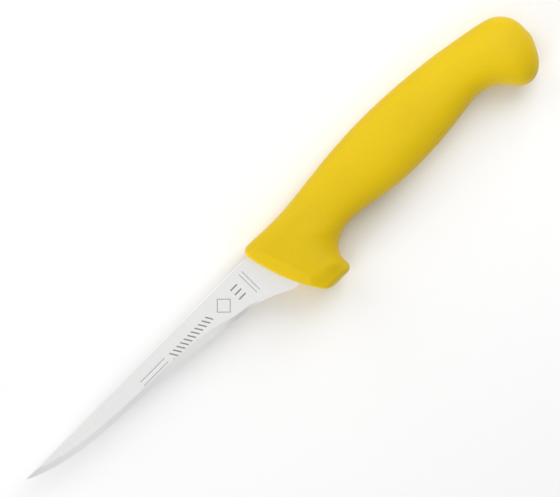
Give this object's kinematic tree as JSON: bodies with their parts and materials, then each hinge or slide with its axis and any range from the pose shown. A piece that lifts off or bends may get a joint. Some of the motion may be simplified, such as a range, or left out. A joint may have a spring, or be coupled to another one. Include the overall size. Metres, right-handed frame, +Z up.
{
  "type": "boning knife",
  "caption": "Boning knife: narrow ground steel blade with a sharpened edge and a hidden tang, in a moulded plastic handle with a finger guard and a butt hook.",
  "frame": {"origin": "under the middle of the whole knife, on the surface that it lies on", "axes": "+X along the knife from the tip of the blade to the butt of the handle, +Y towards the spine, +Z up through the blade's thickness"},
  "size_m": [0.2642, 0.0386, 0.0216],
  "materials": {
    "blade_steel": "fine cross-ground stainless steel",
    "handle_plastic": "yellow polypropylene with a fine matte texture"
  },
  "bodies": {
    "root": {"blade": "blade_steel", "handle": "handle_plastic"}
  },
  "joints": []
}
